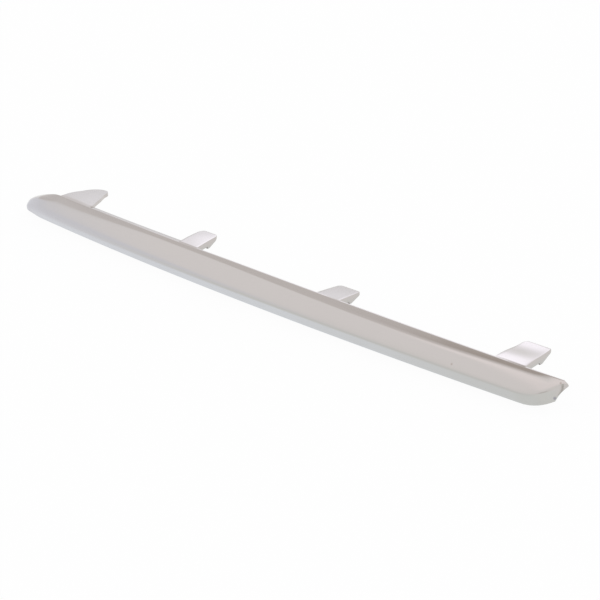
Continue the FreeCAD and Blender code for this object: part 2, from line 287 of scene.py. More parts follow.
    def crease_back(self, x: float) -> float:
        """Work out how far in front of the top edge the lower crease lies: it slides up the face as it rises.

        Args:
            x: Place along the bar.

        Returns:
            Its depth there.
        """
        shoulder, depth = self.shoulder(x), self.depth(x)
        low = self.face_depth - self.tuck(x)
        if x < 0:
            return low
        return depth + (low - depth) * (shoulder - self.crease(x)) / (shoulder - self.crease_height)

    def foot(self, x: float) -> float:
        """Work out the foot, which rises to the square end, and a little to the nose.

        Args:
            x: Place along the bar.

        Returns:
            Height of the foot there.
        """
        gone = max((x - self.end + self.foot_rise) / self.foot_rise, 0.0)
        nearing = (self.nose + self.nose_foot_length - x) / (self.nose_foot_ease * self.nose_foot_length)
        return self.foot_share * self.top(x) * gone ** 2 + self.nose_foot_height * smooth_step(nearing)

    def tuck(self, x: float) -> float:
        """How far the face has turned back at x, close to either end."""
        at_nose = max((self.nose + self.nose_turn - x) / self.nose_turn, 0.0)
        return self.end_tuck * self.turned(x) ** 2 + self.nose_tuck * at_nose ** 2

    def toe_tuck(self, x: float) -> float:
        """How far the foot has turned back at x, close to the square end only."""
        return self.tuck(x) if x > 0 else 0.0

    def rounding(self, x: float) -> float:
        """How far the whole front has gone back at x over the round tip of the nose."""
        left = max(1 - (x - self.nose) / self.nose_round, 0.0)
        return self.foot_depth * (1 - math.sqrt(max(1 - left * left, 0.0)))

    def lip(self, x: float) -> float:
        """Work out how far the foot wall runs back, less towards both ends.

        Args:
            x: Place along the bar.

        Returns:
            Its depth there.
        """
        left = (self.nose + self.lip_nose - x) / self.lip_nose
        gone = (x - self.end + self.foot_rise) / (self.foot_rise - self.lip_end_gap)
        return self.lip_depth - self.lip_trim * (hold(left) ** 2 + hold(gone) ** 2)


@dataclass(frozen=True)
class DarkSpot:
    """A small dark spot painted into the plate's colour, placed in the part's own millimetres. Most are real
    pits; one is painted shade.
    """

    place: tuple[float, float, float]
    radius: float
    tone: str


@dataclass(frozen=True)
class ChromePlate:
    """Bright chrome plate on moulded ABS, electroplated over copper and nickel on a polished tool finish.

    The thin chromium gives the eye a neutral mirror with a slight warm cast from the nickel under it.
    """

    name: str = "electroplated_chrome_on_moulded_abs"
    tint: str = "C6C1BE"
    roughness: float = 0.1
    wave_mm: float = 34.0
    wave_depth_mm: float = 0.6
    wave_strength: float = 0.25
    peel_mm: float = 1.6
    peel_depth_mm: float = 0.05
    peel_strength: float = 0.05
    haze_mm: float = 9.0
    haze_rise: float = 0.09
    haze_range: tuple[float, float] = (0.3, 0.75)
    wipe_mm: tuple[float, float] = (22.0, 0.9)
    wipe_rise: float = 0.04
    wipe_range: tuple[float, float] = (0.52, 0.72)
    pit_and_shade_core: float = 0.3
    pits_and_painted_shade: tuple[DarkSpot, ...] = (
        # The first two are real pits in the plate.
        DarkSpot((159.0, -3.9, 5.3), 0.8, "A29EA5"),
        DarkSpot((120.21, -8.73, 6.38), 0.6, "B8B0AB"),
        # Painted shade, not a pit: the dark wedge where the lower crease meets the shoulder at the square end.
        DarkSpot((159.9, -2.6, 10.3), 0.6, "B0A8A2"))

    def build(self) -> Material:
        """Make the material.

        Returns:
            Chrome with the slow waviness of a moulding, faint handling haze, a few small pits and one patch of
            painted shade.
        """
        material = bpy.data.materials.new(self.name)
        material.use_nodes = True
        tree = material.node_tree
        tree.nodes.clear()
        place = add_node(tree, "ShaderNodeTexCoord").outputs["Object"]
        shader = add_node(tree, "ShaderNodeBsdfPrincipled", None, {
            "Base Color": self.colour(tree, place), "Metallic": 1.0, "Roughness": self.worn(tree, place),
            "Normal": self.relief(tree, place)})
        add_node(tree, "ShaderNodeOutputMaterial", None, {"Surface": shader.outputs["BSDF"]})
        return material

    @staticmethod
    def noise(tree: Tree, place: Socket, size: float, detail: float) -> Socket:
        """Add a noise from 0 to 1, with lumps of a size in millimetres and a number of finer layers."""
        return add_node(tree, "ShaderNodeTexNoise", None, {
            "Vector": place, "Scale": 1 / (size * MM), "Detail": detail, "Roughness": 0.5}).outputs["Fac"]

    def relief(self, tree: Tree, place: Socket) -> Socket:
        """Let the reflections wander as they do on moulded plastic.

        Args:
            tree: The material's node tree.
            place: Coordinates of the point.

        Returns:
            The bent normal.
        """
        # Thick plastic sinks a little as it cools, so reflections wander slowly along the bar.
        slow = add_node(tree, "ShaderNodeBump", None, {
            "Height": self.noise(tree, place, self.wave_mm, 1.0), "Strength": self.wave_strength,
            "Distance": self.wave_depth_mm * MM})
        # The copper under the chrome levels out in a fine orange peel, 1 to 2 mm across.
        fine = add_node(tree, "ShaderNodeBump", None, {
            "Height": self.noise(tree, place, self.peel_mm, 2.0), "Strength": self.peel_strength,
            "Distance": self.peel_depth_mm * MM, "Normal": slow.outputs["Normal"]})
        return fine.outputs["Normal"]

    def worn(self, tree: Tree, place: Socket) -> Socket:
        """Blur the mirror a little where it has been handled and wiped.

        Args:
            tree: The material's node tree.
            place: Coordinates of the point.

        Returns:
            The roughness.
        """
        # Handling leaves a haze in soft patches; 9 mm is about the size of a finger's touch.
        low, high = self.haze_range
        haze = add_node(tree, "ShaderNodeMapRange", None, {
            "Value": self.noise(tree, place, self.haze_mm, 3.0), "From Min": low, "From Max": high,
            "To Min": self.roughness, "To Max": self.roughness + self.haze_rise})
        # Real wiping marks are about 0.05 mm wide; these are drawn coarser, or they wouldn't show.
        long, narrow = self.wipe_mm
        along = add_node(tree, "ShaderNodeVectorMath", {"operation": "MULTIPLY"}, {
            "0": place, "1": (narrow / long, 1.0, 1.0)})
        low, high = self.wipe_range
        marks = self.noise(tree, along.outputs["Vector"], narrow, 2.0)
        wiped = add_node(tree, "ShaderNodeMapRange", None, {
            "Value": marks, "From Min": low, "From Max": high, "To Min": 0.0, "To Max": self.wipe_rise})
        total = add_node(tree, "ShaderNodeMath", {"operation": "ADD"}, {
            "0": haze.outputs["Result"], "1": wiped.outputs["Result"]})
        return total.outputs["Value"]

    def colour(self, tree: Tree, place: Socket) -> Socket:
        """Darken the plate in its few small pits, and paint shade into it where the lower crease meets the
        shoulder at the square end.

        Args:
            tree: The material's node tree.
            place: Coordinates of the point.

        Returns:
            The colour.
        """
        colour = linear(self.tint)
        # Each spot mixes its dark tone into the tint: real pits, and the last one painted shade at the square
        # end.
        for dark_spot in self.pits_and_painted_shade:
            away = add_node(tree, "ShaderNodeVectorMath", {"operation": "DISTANCE"}, {
                "0": place, "1": tuple(c * MM for c in dark_spot.place)})
            inside = add_node(tree, "ShaderNodeMapRange", {"interpolation_type": "SMOOTHSTEP"}, {
                "Value": away.outputs["Value"], "From Min": dark_spot.radius * MM,
                "From Max": self.pit_and_shade_core * dark_spot.radius * MM, "To Min": 0.0, "To Max": 1.0})
            colour = add_node(tree, "ShaderNodeMix", {"data_type": "RGBA"}, {
                "Factor": inside.outputs["Result"], "6": colour, "7": linear(dark_spot.tone)}).outputs[2]
        return colour


def cut_through(maker: bmesh.types.BMesh, at: tuple[float, float, float], facing: tuple[float, float, float],
                near: float = 1e-4) -> None:
    """Cut new edges through a whole shape along a plane, unless its vertices lie nearer to it than near."""
    bmesh.ops.bisect_plane(maker, geom=maker.verts[:] + maker.edges[:] + maker.faces[:], dist=near,
                           plane_co=at, plane_no=facing)


def finish_piece(maker: bmesh.types.BMesh, name: str, material: Material,
                 shift: float, sharp: float) -> bpy.types.Object:
    """Turn a finished bmesh in millimetres into a piece in metres that stands for the moulding.

    Args:
        maker: The closed shape, in the bar's own millimetres.
        name: Name of the piece.
        material: Its finish.
        shift: How far the part lies from the bar's own zero, along y, in millimetres.
        sharp: Edges that bend by more than this many degrees stay sharp.

    Returns:
        The piece, riding on the root body.
    """
    bmesh.ops.translate(maker, verts=maker.verts, vec=(0, shift, 0))
    bmesh.ops.scale(maker, verts=maker.verts, vec=(MM, MM, MM))
    bmesh.ops.recalc_face_normals(maker, faces=maker.faces)
    mesh = bpy.data.meshes.new(name)
    maker.to_mesh(mesh)
    maker.free()
    for polygon in mesh.polygons:
        polygon.use_smooth = True
    mesh.set_sharp_from_angle(angle=math.radians(sharp))
    mesh.materials.append(material)
    piece = bpy.data.objects.new(name, mesh)
    bpy.context.scene.collection.objects.link(piece)
    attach(piece, "root")
    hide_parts(NODE)
    return piece


@dataclass
class Bar:
    """The bowed bar with its soft creases, its ledge and the open channel behind it."""

    sizes: BarSizes
    shift: float
    stations: int = 150
    notch_foot: float = 3.9
    notch_inset: float = 5.35
    notch_hollow: float = 0.42
    tip_height: float = 9.9
    tip_gap: float = 1.6
    end_corner: float = 0.94
    ledge_depth: float = 2.2
    ledge_step: float = 0.2
    ledge_thickness: float = 1.6
    channel_nose_gap: float = 27.0
    channel_end_gap: float = 18.0
    # The channel and the ledge start and stop over this length.
    ease: float = 0.8
    # How softly each crease is rounded, and how many points or spans are drawn for each part of the front.
    edge_soft: float = 0.42
    edge_waist_soft: float = 0.25
    shoulder_soft: float = 1.2
    crease_soft: float = 0.9
    crease_nose_soft: float = 1.5
    toe_soft: float = 0.3
    heel_soft: float = 0.25
    edge_points: int = 7
    crease_points: int = 11
    toe_points: int = 4
    heel_points: int = 3
    front_spans: int = 9
    # Where the bar is lower than the full height, its roundings and its crown shrink with it.
    full_height: float = 10.0
    least_share: float = 0.05
    crown_height: float = 3.0
    # The back of the section has a point at each third of the way between the corners of the channel's walls.
    wall_spans: int = 3
    slope_start: float = 0.06
    slope_length: float = 0.8
    # Stations along the bar: ever further apart over the tip, then even, and close by each change of section.
    tip_step: float = 0.02
    tip_stations: int = 14
    nose_start: float = 3.4
    nose_step: float = 1.6
    nose_stations: int = 19
    even_nose_gap: float = 35.0
    even_end_gap: float = 24.0
    close_step: float = 0.2
    trim_gap: float = 19.5
    # The trimmed end has its rings at even shares first, and then closer and closer.
    end_step: float = 0.08
    end_steps: int = 9
    end_shares: tuple[float, ...] = (0.78, 0.84, 0.89, 0.93, 0.96, 0.98, 1.0)
    merge: float = 0.004
    sharp_degrees: float = 38.0

    @staticmethod
    def curve(start: Vector, middle: Vector, stop: Vector, count: int) -> list[Flat]:
        """Draw a quadratic curve.

        Args:
            start: Its first point.
            middle: The point that it bends towards.
            stop: Its last point.
            count: Number of points in the curve.

        Returns:
            The points of the curve.
        """
        points = []
        for step in range(count):
            share = step / (count - 1)
            mixed = start * (1 - share) ** 2 + middle * (2 * share * (1 - share)) + stop * share ** 2
            points.append((mixed.x, mixed.y))
        return points

    def soft_corner(self, before: Flat, corner: Flat, after: Flat, reach: float, count: int) -> list[Flat]:
        """Round a crease with a short smooth curve.

        Args:
            before: Point on the line that comes in.
            corner: The sharp corner.
            after: Point on the line that goes out.
            reach: How far the curve starts from the corner, in millimetres.
            count: Number of points in the curve.

        Returns:
            The points of the curve.
        """
        corner_point = Vector(corner)
        first = Vector(before) - corner_point
        last = Vector(after) - corner_point
        start = corner_point + first * min(reach / max(first.length, TINY), MOST_OF_LINE)
        stop = corner_point + last * min(reach / max(last.length, TINY), MOST_OF_LINE)
        return self.curve(start, corner_point, stop, count)

    def edge_reach(self, x: float) -> float:
        """How softly the top edge is rounded at x: it is softest over the waist, from x = -120 to -50."""
        waist = smooth_step((x + 145.0) / 25.0), smooth_step((10.0 - x) / 60.0)
        return self.edge_soft + self.edge_waist_soft * waist[0] * waist[1]

    def crease_softness(self, x: float) -> float:
        """How softly the lower crease is rounded at x: it sharpens from x = -120 to 80."""
        return self.crease_soft + self.crease_nose_soft * smooth_step((80.0 - x) / 200.0)

    def corner_shares(self, x: float, length: float, tall: float) -> tuple[float, float]:
        """Work out how much of the face its two soft corners take at x.

        Args:
            x: Place along the bar.
            length: Height of the face along its slope.
            tall: How tall the bar still is there, from 0 to 1.

        Returns:
            The shares at the shoulder and at the lower crease.
        """
        length, most = max(length, 1e-3), 0.4
        softness = (self.shoulder_soft, self.crease_softness(x))
        return min(softness[0] * tall / length, most), min(softness[1] * tall / length, most)

    @staticmethod
    def on_face(shoulder: Flat, low: Flat, bulge: float, share: float) -> Vector:
        """Point of the crowned face at a share of the way down from its shoulder to its crease."""
        point = Vector(shoulder).lerp(Vector(low), share)
        return Vector((point.x - bulge * 4 * share * (1 - share), point.y))

    @staticmethod
    def face_slope(shoulder: Flat, low: Flat, bulge: float, share: float) -> Vector:
        """Which way the crowned face runs, at a share of the way down."""
        slope = Vector(low) - Vector(shoulder)
        return Vector((slope.x - bulge * 4 * (1 - 2 * share), slope.y))

    def blend(self, before: Flat, stop: Vector, slope: Vector, corner: Flat, reach: float) -> list[Flat]:
        """Round the corner between a straight line and the crowned face so that both ends run on smoothly.

        Args:
            before: Far end of the straight line.
            stop: Where the curve meets the face.
            slope: Direction of the face there, away from the corner.
            corner: The sharp corner.
            reach: How far along the straight line the curve starts, in millimetres.

        Returns:
            The points of the curve, from the straight line to the face.
        """
        sharp = Vector(corner)
        line = Vector(before) - sharp
        start = sharp + line * min(reach / max(line.length, TINY), MOST_OF_LINE)
        across = line.x * slope.y - line.y * slope.x
        middle = sharp
        # Two directions that are nearly the same have no useful crossing, and the sharp corner serves.
        if abs(across) > 0.05 * line.length * slope.length:
            gap = sharp - stop
            middle = stop + slope * ((line.x * gap.y - line.y * gap.x) / across)
        return self.curve(start, middle, stop, self.crease_points)

    def section(self, x: float) -> list[Flat]:
        """Work out the closed section at x, from the top edge down the front and back up inside.

        Args:
            x: Place along the bar.

        Returns:
            The points, always the same number of them.
        """
        s = self.sizes
        back, head, drop = s.bow(x), s.top(x), s.top(x) - s.shoulder(x)
        gone = s.rounding(x)
        edge = (back, head)
        shoulder = (min(back - s.depth(x) + gone, back - 0.1), head - drop)
        low = (back - s.crease_back(x) + gone, s.crease(x))
        toe = (back - s.foot_depth + gone + s.toe_tuck(x), s.foot(x))
        heel = (max(back + s.lip(x), toe[0] + 0.2), s.foot(x))
        tall = min(max((head - s.foot(x)) / self.full_height, self.least_share), 1.0)
        bulge = s.crown * tall * min((shoulder[1] - low[1]) / self.crown_height, 1.0)
        high_share, low_share = self.corner_shares(x, (Vector(shoulder) - Vector(low)).length, tall)
        spans = self.front_spans
        face = [self.on_face(shoulder, low, bulge, high_share + (1 - high_share - low_share) * step / spans)
                for step in range(spans + 1)]
        front = self.soft_corner((back + 0.5, head - 0.1), edge, shoulder, self.edge_reach(x) * tall,
                                 self.edge_points)
        front += self.blend(edge, face[0], self.face_slope(shoulder, low, bulge, high_share), shoulder,
                            self.shoulder_soft * tall)
        front += [tuple(point) for point in face[1:-1]]
        under = self.blend(toe, face[-1], -self.face_slope(shoulder, low, bulge, 1 - low_share), low,
                           self.crease_softness(x) * tall)
        front += under[::-1]
        # The lower bevel is drawn in even spans, down to just above the rounded toe.
        crease_end = Vector(front[-1])
        toe_start = Vector(toe) + (Vector(low) - Vector(toe)) * self.slope_start
        front += [tuple(crease_end.lerp(toe_start, step / spans)) for step in range(1, spans)]
        front += self.soft_corner(low, toe, heel, self.toe_soft * tall, self.toe_points)
        front += self.soft_corner(toe, heel, (heel[0], heel[1] + 2), self.heel_soft * tall, self.heel_points)
        return front + self.inside(x, head, drop, heel)

    def inside(self, x: float, head: float, drop: float, heel: Flat) -> list[Flat]:
        """Work out the back of the section at x: the channel, or a plain slope where the bar is solid.

        Args:
            x: Place along the bar.
            head: Height of the top edge.
            drop: Height of the upper bevel.
            heel: Where the foot wall ends, as (y, z).

        Returns:
            The points from the heel up to the ledge.
        """
        s = self.sizes
        back = s.bow(x)
        # The plain slope runs from the heel to just behind the top edge.
        slope = Vector((back + 0.05, head - 0.15)) - Vector(heel)
        start = s.nose + self.channel_nose_gap
        stop = s.end - self.channel_end_gap
        depth = smooth_step(min(x - start, stop - x) / self.ease + 0.5)
        fin, second = s.tongue_place(Place.FIN), s.tongue_place(Place.SECOND)
        on_ledge = smooth_step((x - fin) / self.ease) * smooth_step((second - x) / self.ease)
        ledge_top = head - self.ledge_step * on_ledge - 0.05
        rear = back + self.ledge_depth
        ledge = [(rear, ledge_top - self.ledge_thickness), (rear, ledge_top), (back + 0.15, ledge_top)]
        # The channel's walls keep the wall's thickness behind the foot, the two bevels, the face and the top.
        walls = [Vector(corner) for corner in (
            (back + s.lip(x) - 0.05, s.wall), (back - s.foot_depth + 0.8 * s.wall, s.wall),
            (back - s.face_depth + s.wall, s.crease_height),
            (back - s.depth(x) + s.wall, head - drop - 0.8 * s.wall), (back + 0.1, head - s.wall))]
        points = []
        last = len(walls) - 1
        count = last * self.wall_spans
        for number in range(count + 1):
            corner, share = divmod(number, self.wall_spans)
            wall = walls[corner].lerp(walls[min(corner + 1, last)], share / self.wall_spans)
            plain = Vector(heel) + slope * (self.slope_start + self.slope_length * number / count)
            points.append(tuple(plain.lerp(wall, depth)))
        for corner, share in zip(ledge, (0.9, 0.95, 1.0)):
            plain = Vector(heel) + slope * share
            points.append(tuple(plain.lerp(Vector(corner), on_ledge)))
        return points

    def last_x(self, z: float) -> float:
        """Where the square end stops at a height: its hollow notch below and its round corner above.

        Args:
            z: Height of the point.

        Returns:
            The place along the bar where the end cuts it off.
        """
        s = self.sizes
        share = (z - self.notch_foot) / (self.tip_height - self.notch_foot)
        held = hold(share)
        slant = self.tip_gap + (self.notch_inset - self.tip_gap) * (1 - held)
        notch = slant + self.notch_hollow * 4 * held * (1 - held)
        return s.end - notch - self.end_corner * max(z - self.tip_height, 0.0) ** 2

    def trimmed(self, index: int, share: float, start: float) -> Vector:
        """Find a point of the skin between the last plain station and the trimmed end.

        Args:
            index: Which point of the section.
            share: How far it is on the way to the end.
            start: Where the last plain station is.

        Returns:
            The point in millimetres.
        """
        low, high = start, self.sizes.end
        # Eighteen halvings of the last 20 mm find the end to a ten-thousandth of a millimetre.
        for _ in range(18):
            middle = (low + high) / 2
            z = self.section(middle)[index][1]
            if middle < self.last_x(z):
                low = middle
            else:
                high = middle
        x = start + (low - start) * share
        y, z = self.section(x)[index]
        return Vector((x, y, z))

    def rows(self) -> list[float]:
        """Choose the plain stations: close together at the nose and by the ends of the channel and the ledge.

        Returns:
            Their places along the bar, from the nose on.
        """
        s = self.sizes
        marks = [s.nose + s.start_gap + self.tip_step * step * step for step in range(self.tip_stations)]
        tip_end = s.nose + self.nose_start
        marks += [tip_end + self.nose_step * step for step in range(1, self.nose_stations + 1)]
        count = self.stations
        first, last = s.nose + self.even_nose_gap, s.end - self.even_end_gap
        marks += [first + (last - first) * step / count for step in range(count + 1)]
        fin, second = s.tongue_place(Place.FIN), s.tongue_place(Place.SECOND)
        channel = (s.nose + self.channel_nose_gap, s.end - self.channel_end_gap)
        for place in (*channel, fin + self.ease / 2, second - self.ease / 2):
            marks += [place + step * self.close_step for step in (-2, -1, 0, 1, 2)]
        return sorted(mark for mark in set(marks) if mark <= s.end - self.trim_gap)

    def build(self, material: Material) -> bpy.types.Object:
        """Extrude the section along the bar and close both ends.

        Args:
            material: Its finish.

        Returns:
            The bar.
        """
        maker = bmesh.new()
        rows = self.rows()
        ring = [maker.verts.new((rows[0], y, z)) for y, z in self.section(rows[0])]
        edges = [maker.edges.new((ring[i], ring[(i + 1) % len(ring)])) for i in range(len(ring))]
        bmesh.ops.contextual_create(maker, geom=edges)
        start = rows[-1]
        ends = [self.end_step * step for step in range(1, self.end_steps + 1)] + list(self.end_shares)
        for number, x in enumerate(rows[1:] + ends):
            plain = number < len(rows) - 1
            points = ([Vector((x, y, z)) for y, z in self.section(x)] if plain
                      else [self.trimmed(index, x, start) for index in range(len(ring))])
            grown = bmesh.ops.extrude_edge_only(maker, edges=edges)["geom"]
            new_verts = [item for item in grown if isinstance(item, bmesh.types.BMVert)]
            edges = [item for item in grown if isinstance(item, bmesh.types.BMEdge)]
            # The new ring lies on the old one until it is moved, so each vertex finds its twin by its place.
            by_place = {tuple(round(c, 6) for c in vert.co): vert for vert in new_verts}
            ring = [by_place[tuple(round(c, 6) for c in vert.co)] for vert in ring]
            for vert, point in zip(ring, points):
                vert.co = point
        cap = bmesh.ops.contextual_create(maker, geom=edges)["faces"]
        bmesh.ops.triangulate(maker, faces=cap, quad_method="BEAUTY", ngon_method="BEAUTY")
        bmesh.ops.remove_doubles(maker, verts=maker.verts, dist=self.merge)
        return finish_piece(maker, "bar", material, self.shift, self.sharp_degrees)


@dataclass
class Tongue:
    """One clip tongue, with its barb below and the lead-in ramp up to its rounded tip."""

    sizes: BarSizes
    shift: float
    place: Place
    reach: float
    lift: float
    corners: tuple[float, float]
    swell: float
    width: float = 12.6
    taper: float = 0.8
    thickness: float = 2.35
    barb_depth: float = 0.8
    barb_land: float = 1.2
    barb_ramp: float = 5.0
    tip_thickness: float = 1.0
    root_depth: float = 0.9
    # The top swells once from root to tip, or swells and sinks, most of all a little left of its middle.
    waves: int = 1
    swell_lean: float = 0.3
    rim: float = 0.3
    rim_degrees: float = 28.0
    rim_segments: int = 3
    corner_segments: int = 8
    rows: int = 16
    columns: int = 8
    sharp_degrees: float = 50.0

    def side(self, back: float, head: float) -> list[Flat]:
        """Work out the side view of the tongue.

        Args:
            back: Where the top edge of the bar lies, along y.
            head: How high it is.

        Returns:
            Corners of the side view as (y, z), round from the root's underside.
        """
        tip, barb = back + self.reach, back + self.reach - self.barb_ramp
        catch, under = barb - self.barb_land, head - self.thickness
        climb = self.lift / self.reach
        catch_height = under + climb * (catch - back)
        return [(back - self.root_depth, under), (back - self.root_depth, head - 1.5 * self.root_depth),
                (back, head - 0.05), (tip, head + self.lift), (tip, head + self.lift - self.tip_thickness),
                (barb, under + climb * (barb - back) - self.barb_depth),
                (catch, catch_height - self.barb_depth), (catch, catch_height)]

    def build(self, material: Material) -> bpy.types.Object:
        """Extrude the side view across, draw in the tip, round the edges and let the top swell.

        Args:
            material: Its finish.

        Returns:
            The tongue.
        """
        x = self.sizes.tongue_place(self.place)
        back, head = self.sizes.bow(x), self.sizes.level_top(x)
        tip = back + self.reach
        maker = bmesh.new()
        left = x - self.width / 2
        face = maker.faces.new([maker.verts.new((left, y, z)) for y, z in self.side(back, head)])
        grown = bmesh.ops.extrude_face_region(maker, geom=[face])["geom"]
        across = [item for item in grown if isinstance(item, bmesh.types.BMVert)]
        bmesh.ops.translate(maker, verts=across, vec=(self.width, 0, 0))
        for vert in maker.verts:
            narrowed = self.taper * max(vert.co.y - back, 0.0) / self.reach
            vert.co.x -= math.copysign(narrowed, vert.co.x - x)
        for corner, hand in zip(self.corners, (-1, 1)):
            upright = [edge for edge in maker.edges
                       if all(abs(vert.co.y - tip) < 1e-4 and (vert.co.x - x) * hand > 0.3 * self.width
                              for vert in edge.verts)]
            bmesh.ops.bevel(maker, geom=upright, offset=corner, segments=self.corner_segments, profile=0.5,
                            affect="EDGES", material=-1)
        rims = [edge for edge in maker.edges
                if len(edge.link_faces) == 2 and edge.calc_face_angle() > math.radians(self.rim_degrees)
                and max(vert.co.y for vert in edge.verts) > back + 0.5]
        bmesh.ops.bevel(maker, geom=rims, offset=self.rim, segments=self.rim_segments, profile=0.5,
                        affect="EDGES", material=-1, clamp_overlap=True)
        for step in range(1, self.rows):
            cut_through(maker, (0, back + self.reach * step / self.rows, 0), (0, 1, 0))
        for step in range(1, self.columns):
            cut_through(maker, (x + self.width * (step / self.columns - 0.5), 0, 0), (1, 0, 0))
        for vert in maker.verts:
            along = hold((vert.co.y - back) / self.reach)
            aside = (vert.co.x - x) / (self.width / 2)
            if vert.co.z > head - 0.5 * self.tip_thickness + self.lift * along:
                wave = self.swell * math.sin(math.pi * self.waves * along)
                vert.co.z += wave * (1 - 0.5 * (aside + self.swell_lean) ** 2)
            # The root follows the bow, and the tip stays square.
            vert.co.y += (self.sizes.bow(vert.co.x) - back) * (1 - smooth_step(along * 2))
        return finish_piece(maker, f"tongue_{self.place.value}", material, self.shift, self.sharp_degrees)


@dataclass
class Fin:
    """The wide fin at the nose end, swept to a rounded tip."""

    sizes: BarSizes
    shift: float
    width: float = 30.0
    lift: float = 2.5
    tip_width: float = 10.7
    sweep: float = 1.9
    thickness: float = 1.6
    swell: float = 0.25
    root_depth: float = 0.6
    # Marks of the plan from the left root to the right root, each with its share of the reach. Those of the
    # sides are gaps from the root's ends in millimetres, and those of the tip are shares of its width.
    left_marks: tuple[tuple[float, float], ...] = ((0.3, 0.1), (1.0, 0.25), (2.4, 0.42), (4.8, 0.6))
    tip_marks: tuple[tuple[float, float], ...] = (
        (-0.62, 0.76), (-0.42, 0.88), (-0.18, 0.965), (0.08, 1.0), (0.3, 0.99), (0.45, 0.94), (0.52, 0.87),
        (0.59, 0.76))
    right_marks: tuple[tuple[float, float], ...] = ((7.9, 0.54), (5.7, 0.32), (3.4, 0.12))
    right_root_gap: float = 2.0
    rim: float = 0.3
    rim_degrees: float = 40.0
    rim_segments: int = 3
    rows: int = 12
    columns: int = 16
    merge: float = 0.02
    sharp_degrees: float = 50.0

    def plan(self) -> list[Flat]:
        """Draw a smooth curve through the marks of the plan.

        Returns:
            Points round the fin's edge as (x, y), from its left root to its right root.
        """
        x = self.sizes.tongue_place(Place.FIN)
        back, reach = self.sizes.bow(x), self.sizes.fin_reach
        tip = x - self.sweep
        left, right = x - self.width / 2, x + self.width / 2
        marks = [(left, back - self.root_depth)]
        marks += [(left + gap, back + share * reach) for gap, share in self.left_marks]
        marks += [(tip + place * self.tip_width, back + share * reach) for place, share in self.tip_marks]
        marks += [(right - gap, back + share * reach) for gap, share in self.right_marks]
        marks.append((right - self.right_root_gap, back - self.root_depth))
        line = [Vector(mark) for mark in marks[:1] + marks + marks[-1:]]
        smooth: list[Flat] = []
        for before, start, stop, after in zip(line, line[1:], line[2:], line[3:]):
            handles = (start + (stop - before) / 6, stop - (after - start) / 6)
            curve = interpolate_bezier(start, *handles, stop, 5)
            smooth += [(point.x, min(point.y, back + reach)) for point in curve[:-1]]
        return smooth + marks[-1:]

    def build(self, material: Material) -> bpy.types.Object:
        """Fill the plan, thicken it, raise it towards its tip and round its edge.

        Args:
            material: Its finish.

        Returns:
            The fin.
        """
        x = self.sizes.tongue_place(Place.FIN)
        back, head, reach = self.sizes.bow(x), self.sizes.level_top(x), self.sizes.fin_reach
        maker = bmesh.new()
        face = maker.faces.new([maker.verts.new((px, py, head - 0.05)) for px, py in self.plan()])
        bmesh.ops.extrude_face_region(maker, geom=[face])
        for vert in face.verts:
            vert.co.z -= self.thickness
        for step in range(1, self.rows):
            cut_through(maker, (0, back + reach * step / self.rows, 0), (0, 1, 0), 1e-5)
        rims = [edge for edge in maker.edges
                if len(edge.link_faces) == 2 and edge.calc_face_angle() > math.radians(self.rim_degrees)
                and abs(edge.verts[0].co.z - edge.verts[1].co.z) < 1e-4
                and max(vert.co.y for vert in edge.verts) > back + 0.1]
        bmesh.ops.bevel(maker, geom=rims, offset=self.rim, segments=self.rim_segments, profile=0.5,
                        affect="EDGES", material=-1, clamp_overlap=True)
        for step in range(1, self.columns):
            cut_through(maker, (x + self.width * (step / self.columns - 0.5), 0, 0), (1, 0, 0))
        for vert in maker.verts:
            along = (vert.co.y - back) / reach
            aside = (vert.co.x - x + self.sweep * along) / (self.width / 2)
            vert.co.z += self.lift * max(along, 0.0) - 1.5 * max(back - vert.co.y, 0.0)
            if along > 0:
                vert.co.z += self.swell * (math.sin(math.pi * min(along, 1.0)) - 0.8 * aside * aside)
            vert.co.y += (self.sizes.bow(vert.co.x) - back) * (1 - smooth_step(along * 2))
        bmesh.ops.remove_doubles(maker, verts=maker.verts, dist=self.merge)
        return finish_piece(maker, f"tongue_{Place.FIN.value}", material, self.shift, self.sharp_degrees)


@dataclass(frozen=True)
class RoomPatch:
    """One soft-edged part of the room that the chrome mirrors.

    The azimuth runs from the front towards the left. Core and edge are the angles from the part's middle at
    which it starts to fade and is gone. All are in degrees.
    """

    name: str
    azimuth: float
    elevation: float
    core: float
    edge: float
    colour: str
    strength: float = 1.0

    @property
    def direction(self) -> tuple[float, float, float]:
        """Unit vector to the middle of the part."""
        turn, rise = math.radians(self.azimuth), math.radians(self.elevation)
        return -math.sin(turn) * math.cos(rise), -math.cos(turn) * math.cos(rise), math.sin(rise)


